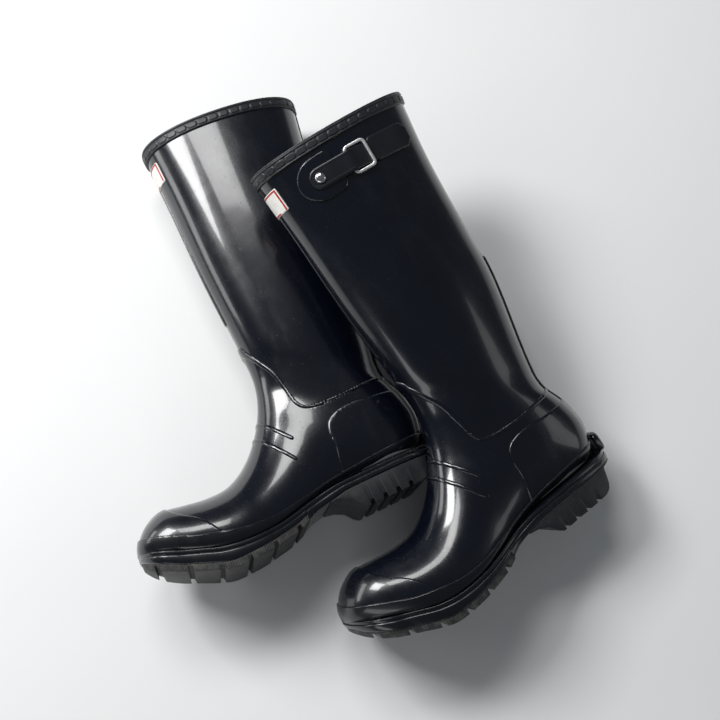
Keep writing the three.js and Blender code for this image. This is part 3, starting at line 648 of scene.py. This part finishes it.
def slab(x, sides, bottom, top, rounding=0.9, rib=0.0):
    """A slab over a plan outline, with rounded long edges and ribbed sides."""
    rings = []
    ripple = rib * (0.5 + 0.5 * np.cos(x * 2 * math.pi / RIB_PITCH))
    for value, (low_y, high_y), low_z, high_z, wave in zip(x, sides, bottom, top, ripple):
        r = min(rounding, (high_y - low_y) * 0.3, (high_z - low_z) * 0.3)
        ring = []
        for corner_y, corner_z, start in (
            (high_y - r, low_z + r, -90), (high_y - r, high_z - r, 0),
            (low_y + r, high_z - r, 90), (low_y + r, low_z + r, 180),
        ):
            for turn in (0, 30, 60, 90):
                a = math.radians(start + turn)
                ring.append([value, corner_y + r * math.cos(a), corner_z + r * math.sin(a)])
        ring = np.array(ring)
        centre_y, centre_z = (low_y + high_y) / 2, (low_z + high_z) / 2
        from_middle = np.abs(ring[:, 2] - centre_z) / ((high_z - low_z) / 2 + 1e-6)
        deep = 1 - np.clip(from_middle, 0, 1) ** 4
        ring[:, 1] -= np.sign(ring[:, 1] - centre_y) * wave * deep
        rings.append(ring)
    return loft(rings)


def sole_levels(x):
    """Heights of the sole: its tread, the line its lugs reach up to, and its top."""
    seat = height_on(WELT, x) - HEEL_SEAT
    waist = np.interp(x, [70, 84, 100, 107.5, 112], [21.3, 18.6, 15.5, 12.5, 9.8])
    tread = height_on(TREAD, x)
    top = height_on(WELT, x) - GAP
    lug_top = np.minimum(tread + TREAD_DEPTH + LUG_SHOULDER, top - LEAST_WALL)
    return tread, np.where(x < 70, seat, np.where(x < TREAD_START, waist, lug_top)), top


def sole_wall():
    """The smooth glossy side wall of the sole, over its lugs."""
    x, sides = smoothed_width(SOLE_EDGE)
    _, bottom, top = sole_levels(x)
    return slab(x, sides, np.minimum(bottom, top - 1.6), top, rounding=2.2)


def welt():
    """The upright edge that carries the foxing band down to the sole."""
    x, sides = smoothed_width(SOLE_EDGE - 1.2)
    line = height_on(WELT, x)
    return slab(x, sides, line - 0.6, line + WELT_HEIGHT, rounding=0.9)


def outsole():
    """The forepart's lugs, with ribbed sides."""
    x, sides = smoothed_width(SOLE_EDGE - 0.9)
    keep = x > TREAD_START
    x, sides = x[keep], sides[keep]
    tread, lug_top, _ = sole_levels(x)
    depth = TREAD_DEPTH * in_groove(x, *GROOVES, LUG_PITCH)
    bottom = np.minimum(tread + depth, lug_top - 0.6)
    return slab(x, sides, bottom, lug_top + 0.5, rounding=0.7, rib=0.5)


def heel_block():
    """The separate heel: lugs under it, a sloping breast ahead of them and ribbed sides."""
    x, sides = smoothed_width(HEEL_EDGE)
    keep = (x > -27) & (x < 86)
    x, sides = x[keep], sides[keep]
    profile = np.array([
        [-29, 20.5], [-12, 20], [-11, 18], [-6, 6], [-3, 2.5], [0, 1], [4, 0], [57, 0],
        [61, 3], [67, 11], [76, 15.6], [86, 17.6],
    ])
    bottom = np.interp(x, profile[:, 0], profile[:, 1])
    top = height_on(WELT, x) - HEEL_SEAT - GAP / 2
    top = np.minimum(top, np.interp(x, [60, 70, 84], [21.9, 21.2, 18.4]))
    depth = TREAD_DEPTH * in_groove(x, *HEEL_GROOVES, HEEL_LUG_PITCH)
    bottom = np.minimum(bottom + depth, top - 0.4)
    bottom = np.where(x < -12, np.interp(x, [-27, -12], [20.6, 19.5]), bottom)
    bottom = np.minimum(bottom, top - 0.5)
    return slab(x, sides, bottom, top, rounding=0.8, rib=0.3)


def heel_spur():
    """A rounded rib on the back of the heel."""
    rings = []
    for y in np.linspace(-13.2, 13.2, 23):
        share = math.sqrt(max(0.0, 1 - (abs(y) / 13.4) ** 4))
        ring = []
        for a in np.linspace(0, 2 * math.pi, 24, endpoint=False):
            x = -28.2 + (4.2 * power(math.cos(a), 0.8) - 1.8) * (0.35 + 0.65 * share)
            z = 36.9 + 9.6 * power(math.sin(a), 0.5) * (0.6 + 0.4 * share)
            ring.append([x + 0.012 * y * y, y, z])
        rings.append(ring)
    points, faces = loft(rings)
    return points, [face[::-1] for face in faces]


def footbed():
    """The loose footbed: a slab over the lining's floor."""
    x = np.linspace(-19, 244, 140)
    low = height_on(WELT, x) + 5.0
    sides = np.array([sole_width(value, -6.5) for value in x])
    shrink = np.clip((250 - x) / 30, 0.05, 1) ** 0.5
    middle = sides.mean(1, keepdims=True)
    sides = middle + (sides - middle) * shrink[:, None]
    return slab(x, sides, low, low + 4.5, rounding=1.6)


# ---------------------------------------------------------------- strap and buckle

def row_at(height):
    low, high = 0.0, float(TOP)
    while high - low > 1e-6:
        row = (low + high) / 2
        low, high = (row, high) if surface(row, STUD_ANGLE)[2] < height else (low, row)
    return low


STRAP_ROW = row_at(STRAP_HEIGHT)
LINE_ANGLES = STUD_ANGLE + np.radians(np.arange(-60, 241) * 0.5)
LINE_POINTS = surface(STRAP_ROW, LINE_ANGLES)
LINE_RUN = np.concatenate([[0], np.cumsum(np.linalg.norm(np.diff(LINE_POINTS, axis=0), axis=1))])


def on_strap(distance):
    """Point, and directions out of the leg, back along the strap and across it."""
    angle = np.interp(LINE_RUN[60] + distance, LINE_RUN, LINE_ANGLES)
    point, out = surface(STRAP_ROW, angle), outward(STRAP_ROW, angle)
    back = surface(STRAP_ROW, angle + 0.01) - surface(STRAP_ROW, angle - 0.01)
    across = np.cross(out, back)
    across /= np.linalg.norm(across)
    return point, out, np.cross(across, out), across


ON_PATCH = GAP + PATCH + GAP
OVER_BAR = GAP + 2 * WIRE + GAP
ON_LEG = 0.5
TIP_LIFT = 2.4
STRAP_RISE = np.array([
    [-STRAP_AHEAD, ON_PATCH], [19, ON_PATCH], [FRAME_AT - 6, OVER_BAR - 0.7],
    [FRAME_AT - 2, OVER_BAR + 0.1], [FRAME_AT + 2, OVER_BAR + 0.1],
    [FRAME_AT + 8, ON_LEG + 1], [FRAME_AT + 12, ON_LEG],
    [FRAME_AT + 34, ON_LEG], [STRAP_LENGTH - 8, TIP_LIFT - 0.8], [STRAP_LENGTH, TIP_LIFT],
])


def strap_half(distance):
    widening = np.clip((distance - FRAME_AT - FRAME_LENGTH - 3) / 3, 0, 1)
    widening = widening * widening * (3 - 2 * widening)
    half = (STRAP_NARROW * (1 - widening) + STRAP_WIDE * widening) / 2
    narrowing = np.clip((distance - STRAP_LENGTH + 5) / 5, 0, 1)
    front = np.clip((distance + STRAP_AHEAD) / STRAP_NARROW * 2, 0, 1)
    return half * (0.12 + 0.88 * math.sqrt(1 - (1 - front) ** 2)) - 5 * narrowing


def strap():
    """The strap, with softly rounded edges and a thin raised line along each of them."""
    stations = np.arange(-STRAP_AHEAD, STRAP_LENGTH + 0.01, 0.75)
    low = np.interp(stations, STRAP_RISE[:, 0], STRAP_RISE[:, 1])
    kernel = np.ones(5) / 5
    low = np.convolve(np.pad(low, 2, mode="edge"), kernel, mode="valid")
    rings = []
    for distance, height in zip(stations, low):
        point, out, _, across = on_strap(distance)
        half = strap_half(distance)
        ring = []
        for share in np.linspace(-1, 1, 25):
            side = half * math.sin(share * math.pi / 2)
            edge = half - abs(side)
            top = STRAP - 0.75 * (1 - min(1, edge / 0.9)) ** 2
            top += 0.22 * math.exp(-((edge - 1.9) / 0.5) ** 2)
            ring.append(point + out * (height + top) + across * side)
        for share in np.linspace(1, -1, 9):
            side = half * share * (1 if abs(share) < 1 else 0.999)
            ring.append(point + out * (height + (0.35 if abs(share) == 1 else 0)) + across * side)
        rings.append(ring)
    points, faces = loft(rings)
    return points, faces


def on_stud(profile, sides=40):
    """A shape of revolution about the stud, from its profile of radius and height."""
    point, out, back, across = on_strap(0)
    rings = []
    for radius, height in profile:
        turn = np.linspace(0, 2 * math.pi, sides, endpoint=False)
        rings.append(point + out * height + radius * (
            np.cos(turn)[:, None] * back - np.sin(turn)[:, None] * across))
    points, faces = loft(rings)
    return points, [face[::-1] for face in faces]


def stud():
    head = ON_PATCH + STRAP + 0.1
    turns = np.radians([0, 12, 25, 38, 52, 65, 78, 88])
    dome = [[STUD_HEAD * math.cos(a), head + 0.6 + 2.0 * math.sin(a)] for a in turns]
    return on_stud([
        [1.7, 0.4], [1.7, head], [STUD_HEAD - 0.5, head], [STUD_HEAD - 0.1, head + 0.15],
        [STUD_HEAD + 0.15, head + 0.4], *dome,
    ])


def buckle():
    """A rectangular frame of flat-sided wire, lying on the strap about its front bar."""
    front_point, front_out, _, front_across = on_strap(FRAME_AT)
    rear_point, rear_out, _, _ = on_strap(FRAME_AT + FRAME_LENGTH)
    pivot = front_point + front_out * (GAP + WIRE)
    along = rear_point + rear_out * (ON_LEG + STRAP + GAP + WIRE) - pivot
    along /= np.linalg.norm(along)
    across = front_across - along * (front_across @ along)
    across /= np.linalg.norm(across)
    out = np.cross(along, across)
    half, bend = FRAME_WIDTH / 2, 3.2
    path, directions = [], []
    for x, y, start in (
        (bend, -half + bend, 180), (FRAME_LENGTH - bend, -half + bend, 270),
        (FRAME_LENGTH - bend, half - bend, 0), (bend, half - bend, 90),
    ):
        for turn in np.linspace(0, 90, 10):
            a = math.radians(start + turn)
            path.append([x + bend * math.cos(a), y + bend * math.sin(a)])
            directions.append([math.cos(a), math.sin(a)])
    rings = []
    for (x, y), (dx, dy) in zip(path, directions):
        ring = []
        for a in np.linspace(0, 2 * math.pi, 20, endpoint=False):
            side, rise = WIRE * power(math.cos(a), 0.5), WIRE * 0.95 * power(math.sin(a), 0.5)
            ring.append(pivot + along * (x + dx * side) + across * (y + dy * side) + out * rise)
        rings.append(ring)
    points, faces = loft(rings, round_again=True)
    return points, [face[::-1] for face in faces]


# ---------------------------------------------------------------- materials

class Nodes:
    """A material's nodes, made and linked in one call each."""

    def __init__(self, name, on_boot=True):
        self.material = bpy.data.materials.new(name)
        self.material.use_nodes = True
        self.tree = self.material.node_tree
        self.shader = self.tree.nodes["Principled BSDF"]
        if on_boot:
            self.place = self.add("ShaderNodeAttribute", {"attribute_name": STANDING}).outputs["Vector"]
        else:
            self.place = self.add("ShaderNodeTexCoord").outputs["Object"]

    def add(self, kind, settings=None, **inputs):
        node = self.tree.nodes.new(kind)
        for key, value in (settings or {}).items():
            setattr(node, key, value)
        for key, value in inputs.items():
            socket = node.inputs[int(key[1:])] if key[0] == "i" and key[1:].isdigit() else node.inputs[key]
            self.put(socket, value)
        return node

    def put(self, socket, value):
        if isinstance(value, bpy.types.NodeSocket):
            self.tree.links.new(value, socket)
        else:
            socket.default_value = value

    def noise(self, scale, detail=3.0, roughness=0.5, stretch=None):
        place = self.place
        if stretch:
            place = self.add("ShaderNodeMapping", Vector=place, Scale=stretch).outputs[0]
        return self.add(
            "ShaderNodeTexNoise", Vector=place, Scale=scale, Detail=detail, Roughness=roughness,
        ).outputs[0]

    def ramp(self, value, low, high, to_low=0.0, to_high=1.0):
        node = self.add("ShaderNodeMapRange", Value=value)
        for key, number in (("From Min", low), ("From Max", high), ("To Min", to_low), ("To Max", to_high)):
            node.inputs[key].default_value = number
        return node.outputs[0]

    def math(self, operation, a, b):
        return self.add("ShaderNodeMath", {"operation": operation}, i0=a, i1=b).outputs[0]

    def mix(self, factor, a, b):
        node = self.add("ShaderNodeMix", {"data_type": "RGBA"})
        self.put(node.inputs[0], factor)
        self.put(node.inputs[6], a)
        self.put(node.inputs[7], b)
        return node.outputs[2]

    def bump(self, height, strength, distance, normal=None):
        node = self.add("ShaderNodeBump", Height=height, Strength=strength, Distance=distance)
        if normal:
            self.put(node.inputs["Normal"], normal)
        return node.outputs[0]

    def finish(self, **sockets):
        for key, value in sockets.items():
            self.put(self.shader.inputs[key.replace("_", " ")], value)
        return self.material


def gloss_rubber(name, roughness=0.2, coat=0.6, color=(0.0014, 0.0021, 0.0058), dust=0.35):
    """Lacquered black rubber with a hint of navy: long soft waves, fine grain, rubs and dust."""
    n = Nodes(name)
    waves = n.noise(26, 2.0)
    grain = n.noise(900, 2.0)
    rubs = n.ramp(n.noise(38, 5.0, 0.65, stretch=(1.0, 1.0, 0.35)), 0.5, 0.72)
    specks = n.ramp(n.noise(520, 1.0), 0.7, 0.78)
    film = n.math("MULTIPLY", n.ramp(n.noise(9, 4.0, 0.6), 0.42, 0.75), dust)
    worn = n.math("ADD", n.math("MULTIPLY", rubs, 0.1), n.math("MULTIPLY", specks, 0.16))
    dull = n.math("ADD", worn, n.math("MULTIPLY", film, 0.22))
    pale = (0.014, 0.016, 0.021, 1)
    lighter = (color[0] * 1.5, color[1] * 1.5, color[2] * 1.35, 1)
    base = n.mix(n.ramp(waves, 0.35, 0.65), (*color, 1), lighter)
    base = n.mix(n.math("MULTIPLY", dull, 0.6), base, pale)
    normal = n.bump(waves, 0.25, 0.0012)
    normal = n.bump(grain, 0.05, 0.0002, normal)
    return n.finish(
        Base_Color=base, Roughness=n.math("ADD", dull, roughness), Normal=normal,
        Coat_Weight=coat, Coat_Roughness=0.07, Coat_IOR=1.48, IOR=1.5,
    )


def matte_rubber(name, color, roughness, dust, dust_color=(0.13, 0.12, 0.105, 1)):
    """Moulded rubber with a fine grain, worn smoother in places, and dust in its hollows."""
    n = Nodes(name)
    grain = n.noise(1100, 3.0)
    mottle = n.noise(60, 4.0, 0.6)
    powder = n.math("MULTIPLY", n.ramp(n.noise(150, 6.0, 0.7), 0.45, 0.7), dust)
    base = n.mix(mottle, (*color, 1), tuple(c * 1.8 for c in color) + (1,))
    base = n.mix(powder, base, dust_color)
    rough = n.math("ADD", n.math("MULTIPLY", mottle, 0.18), roughness)
    normal = n.bump(grain, 0.35, 0.0003, n.bump(mottle, 0.1, 0.0008))
    return n.finish(Base_Color=base, Roughness=rough, Normal=normal)


def knit(name):
    """Knitted polyester: columns of small loops up the leg."""
    n = Nodes(name)
    wave = n.add(
        "ShaderNodeTexWave", {"wave_type": "BANDS", "bands_direction": "Z"},
        Vector=n.place, Scale=290.0, Distortion=1.5, Detail=1.0).outputs[1]
    ribs = n.add(
        "ShaderNodeTexWave", {"wave_type": "BANDS", "bands_direction": "Y"},
        Vector=n.place, Scale=240.0, Distortion=1.0, Detail=1.0).outputs[1]
    loops = n.math("MULTIPLY", wave, ribs)
    fuzz = n.noise(2400, 3.0)
    base = n.mix(loops, (0.018, 0.02, 0.027, 1), (0.075, 0.08, 0.095, 1))
    base = n.mix(n.math("MULTIPLY", fuzz, 0.35), base, (0.13, 0.135, 0.15, 1))
    normal = n.bump(fuzz, 0.2, 0.0003, n.bump(loops, 0.7, 0.0006))
    return n.finish(Base_Color=base, Roughness=0.95, Normal=normal, Sheen_Weight=0.3)


def felt(name, color, on_boot=True):
    """Pressed fibre: short strands and a soft mottle."""
    n = Nodes(name, on_boot)
    strands = n.noise(1600, 6.0, 0.8, stretch=(1.0, 0.25, 1.0))
    mottle = n.noise(90, 3.0)
    base = n.mix(strands, (*color, 1), tuple(min(1, c * 2.2) for c in color) + (1,))
    base = n.mix(n.math("MULTIPLY", mottle, 0.4), base, tuple(c * 0.7 for c in color) + (1,))
    return n.finish(Base_Color=base, Roughness=0.96, Normal=n.bump(strands, 0.6, 0.0005))


def label_plastic(name, color):
    """Slightly soiled moulded plastic."""
    n = Nodes(name)
    soil = n.ramp(n.noise(120, 5.0, 0.7), 0.45, 0.75)
    grain = n.noise(1500, 2.0)
    base = n.mix(n.math("MULTIPLY", soil, 0.45), (*color, 1), tuple(c * 0.62 for c in color) + (1,))
    rough = n.math("ADD", n.math("MULTIPLY", soil, 0.2), 0.36)
    return n.finish(Base_Color=base, Roughness=rough, Normal=n.bump(grain, 0.12, 0.0002))


def nickel(name, roughness, color=(0.66, 0.67, 0.66), on_boot=True):
    """Plated steel wire: brushed along its length, with dull spots."""
    n = Nodes(name, on_boot)
    brushed = n.noise(700, 4.0, 0.6, stretch=(1.0, 0.12, 1.0))
    spots = n.ramp(n.noise(260, 4.0, 0.6), 0.55, 0.75)
    base = n.mix(n.math("MULTIPLY", spots, 0.5), (*color, 1), tuple(c * 0.72 for c in color) + (1,))
    rough = n.math("ADD", n.math("MULTIPLY", brushed, 0.14), n.math("MULTIPLY", spots, 0.16))
    return n.finish(
        Base_Color=base, Roughness=n.math("ADD", rough, roughness), Metallic=1.0,
        Normal=n.bump(brushed, 0.03, 0.0002),
    )


GLOSS = gloss_rubber("gloss_rubber")
TRIM = gloss_rubber("trim_rubber", 0.24, 0.45, (0.002, 0.0026, 0.005), 0.45)
STRAP_RUBBER = gloss_rubber("strap_rubber", 0.33, 0.15, (0.0035, 0.0043, 0.0075), 0.3)
BINDING_RUBBER = matte_rubber("binding_rubber", (0.01, 0.011, 0.014), 0.34, 0.12, (0.06, 0.06, 0.06, 1))
SOLE_RUBBER = matte_rubber("sole_rubber", (0.012, 0.012, 0.013), 0.5, 0.6, (0.11, 0.105, 0.09, 1))
HEEL_RUBBER = matte_rubber("heel_rubber", (0.006, 0.0068, 0.009), 0.36, 0.2, (0.06, 0.058, 0.052, 1))
KNIT = knit("knit_lining")
FELT = felt("insole_felt", (0.05, 0.05, 0.055))
BOARD = felt("filler_board", (0.2, 0.15, 0.1), False)
LABEL = label_plastic("label_plastic", (0.82, 0.80, 0.75))
LABEL_EDGE = label_plastic("label_edge", (0.42, 0.022, 0.02))
NICKEL = nickel("nickel", 0.36, (0.86, 0.86, 0.84))
STUD_NICKEL = nickel("stud_nickel", 0.1, (0.78, 0.79, 0.79))
STEEL = nickel("shank_steel", 0.3, (0.42, 0.43, 0.45), False)

UPPER_MATERIALS = {
    "foxing_band": TRIM, "back_strip_lower": TRIM, "front_label": LABEL,
}


# ---------------------------------------------------------------- the pair

def build(side, shapes):
    for name, (shape, material, nodes, body) in shapes.items():
        piece(side, name, shape, material, nodes, body and f"{side}_{body}")
    for node, material in (("midsole_filler", BOARD), ("shank", STEEL)):
        slots = frame["nodes"][f"{side}_{node}"].data.materials
        slots.clear()
        slots.append(material)


def all_shapes():
    shapes = {}
    for name, (field, base, thickness, edge, under) in UPPER.items():
        made = sheet(field, base, thickness, edge, under)
        shapes[name] = (made, UPPER_MATERIALS.get(name, GLOSS), None, None)
    seam_bead = sheet(near(SEAM, 1.9), 0.1, 1.5, 1.7)
    shapes["seam_bead"] = (seam_bead, GLOSS, ["foot_shell"], None)
    outer, inner = (label_area(inset) for inset in LABEL_BORDER)
    border = sheet(lambda p: np.minimum(outer(p), -inner(p)), 0.9, 0.3, 0.3)
    shapes["label_border"] = (border, LABEL_EDGE, ["front_label"], None)
    shapes["welt"] = (welt(), TRIM, ["foxing_band"], None)
    patch = sheet(patch_field, 0, GAP + PATCH, 1.2)
    shapes["strap_patch"] = (patch, GLOSS, None, None)
    shapes["lining"] = (lining(), KNIT, None, None)
    shapes["top_binding"] = (binding(), BINDING_RUBBER, None, None)
    shapes["sole_wall"] = (sole_wall(), TRIM, ["outsole"], None)
    shapes["outsole"] = (outsole(), SOLE_RUBBER, None, None)
    shapes["heel_block"] = (heel_block(), HEEL_RUBBER, None, None)
    shapes["heel_spur"] = (heel_spur(), TRIM, None, None)
    shapes["insole"] = (footbed(), FELT, None, None)
    shapes["strap"] = (strap(), STRAP_RUBBER, None, None)
    shapes["strap_stud"] = (stud(), STUD_NICKEL, None, None)
    shapes["buckle_frame"] = (buckle(), NICKEL, None, "buckle")
    return shapes


SHAPES = all_shapes()
for boot_side in LYING:
    build(boot_side, SHAPES)


# ---------------------------------------------------------------- floor, light and camera

def floor():
    """A plain pale floor with a faint grain."""
    bpy.ops.mesh.primitive_grid_add(x_subdivisions=8, y_subdivisions=8, size=8)
    ground = bpy.context.object
    ground.name = "floor"
    ground.location.z = min(0.0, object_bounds()[0].z)
    n = Nodes("pale_floor", False)
    mottle = n.noise(6, 3.0)
    base = n.mix(mottle, (0.80, 0.80, 0.80, 1), (0.83, 0.83, 0.825, 1))
    ground.data.materials.append(n.finish(
        Base_Color=base, Roughness=0.75, Normal=n.bump(n.noise(900, 2.0), 0.05, 0.0004)))
    ground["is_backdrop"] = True


LIT = Vector((0, 0, 0.05))      # what the lights point at


def light(name, size, power, place):
    """A rectangular soft box at a place."""
    lamp = bpy.data.lights.new(name, "AREA")
    lamp.shape = "RECTANGLE"
    lamp.size, lamp.size_y = size
    lamp.energy = power
    obj = bpy.data.objects.new(name, lamp)
    bpy.context.scene.collection.objects.link(obj)
    obj.location = place
    obj.rotation_euler = (LIT - place).to_track_quat("-Z", "Y").to_euler()
    return obj


# Directions on the floor as the camera sees it: to the right, and away from it.
AZIMUTH, ELEVATION = math.radians(-26.3), math.radians(73.5)
DISTANCE, LENS = 1.1, 55.6
FROM_HEEL = Vector((0.0099, 0.1472, 0))    # what the camera looks at, from the right heel
RIGHTWARDS = Vector((math.cos(AZIMUTH), math.sin(AZIMUTH), 0))
AWAY = Vector((-math.sin(AZIMUTH), math.cos(AZIMUTH), 0))
UP = Vector((0, 0, 1))


def camera():
    heel = PLACES["right"].translation
    aim = Vector((heel.x, heel.y, 0)) + FROM_HEEL + RIGHTWARDS * 0.002 - AWAY * 0.003
    back = -AWAY * math.cos(ELEVATION) + UP * math.sin(ELEVATION)
    data = bpy.data.cameras.new("camera")
    data.sensor_width = 36
    data.lens = LENS
    obj = bpy.data.objects.new("camera", data)
    bpy.context.scene.collection.objects.link(obj)
    obj.location = aim + back * DISTANCE
    obj.rotation_euler = (-back).to_track_quat("-Z", "Y").to_euler()
    bpy.context.scene.camera = obj


def studio():
    world = bpy.data.worlds.new("studio")
    world.use_nodes = True
    world.node_tree.nodes["Background"].inputs[0].default_value = (0.8, 0.9, 1.0, 1)
    world.node_tree.nodes["Background"].inputs[1].default_value = 0.1
    bpy.context.scene.world = world
    bpy.context.scene.view_settings.view_transform = "Standard"
    light("key", (0.8, 0.8), 40, -RIGHTWARDS * 1.3 + AWAY * 0.75 + UP * 1.6)
    light("left", (1.0, 0.35), 5, -RIGHTWARDS * 1.5 + AWAY * 0.25 + UP * 0.45)
    light("top", (0.75, 0.5), 12, -RIGHTWARDS * 0.36 + AWAY * 0.92 + UP * 1.7)
    light("side", (0.4, 1.0), 1.3, RIGHTWARDS * 1.6 + AWAY * 0.1 + UP * 0.7)
    light("front", (1.2, 0.4), 3.5, -RIGHTWARDS * 0.5 - AWAY * 1.5 + UP * 0.8)


floor()
studio()
camera()
